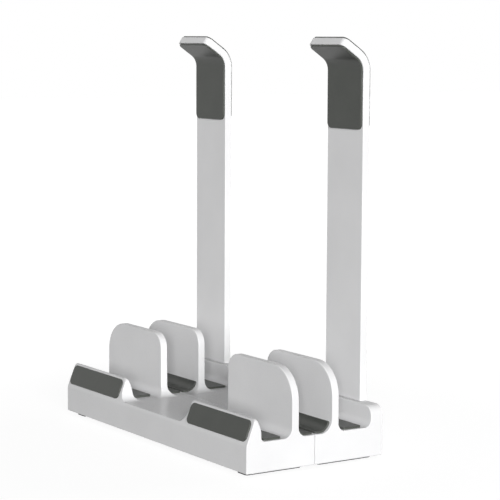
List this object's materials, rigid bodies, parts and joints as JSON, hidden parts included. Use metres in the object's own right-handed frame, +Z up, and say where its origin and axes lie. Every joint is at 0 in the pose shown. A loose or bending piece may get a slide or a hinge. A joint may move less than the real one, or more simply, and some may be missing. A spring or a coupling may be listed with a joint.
{
  "type": "vertical laptop stand",
  "caption": "Free-standing desk rack that holds closed laptops upright in padded slots between fins, with hooked rear posts and a base that slides wider.",
  "frame": {"origin": "centre of the stand's outline, at the underside of its feet", "axes": "+X along the lips and fins, +Y from the front lip to the rear posts, +Z up"},
  "size_m": [0.23, 0.1024, 0.2645],
  "materials": {
    "shell": "fine satin, light grey",
    "post": "satin coat, light grey",
    "pad": "matt silicone, dark grey",
    "foot": "matt, dark grey",
    "cover": "fine matt, light grey",
    "steel": "plated"
  },
  "bodies": {
    "rear_half": {"rear_base_shell": "shell", "rear_bottom_cover": "cover", "rear_cover_screws": "steel", "rail_screws": "steel", "post_screws": "steel", "post_left": "post", "post_right": "post", "hook_inner_pad_left": "pad", "hook_inner_pad_right": "pad", "hook_outer_pad_left": "pad", "hook_outer_pad_right": "pad", "middle_slot_rear_pad_left": "pad", "middle_slot_rear_pad_right": "pad", "rear_slot_pad_left": "pad", "rear_slot_pad_right": "pad", "rear_foot_strip_left": "foot", "rear_foot_strip_right": "foot", "guide_rail_left": "steel", "guide_rail_right": "steel"},
    "front_half": {"front_base_shell": "shell", "front_bottom_cover": "cover", "front_cover_screws": "steel", "lip_pad_left": "pad", "lip_pad_right": "pad", "front_slot_pad_left": "pad", "front_slot_pad_right": "pad", "middle_slot_front_pad_left": "pad", "middle_slot_front_pad_right": "pad", "front_foot_strip_left": "foot", "front_foot_strip_right": "foot"}
  },
  "joints": [
    {"name": "base_slide", "type": "slide", "parent": "rear_half", "child": "front_half", "axis": [0, -1, 0], "range_m": [0, 0.02]}
  ]
}
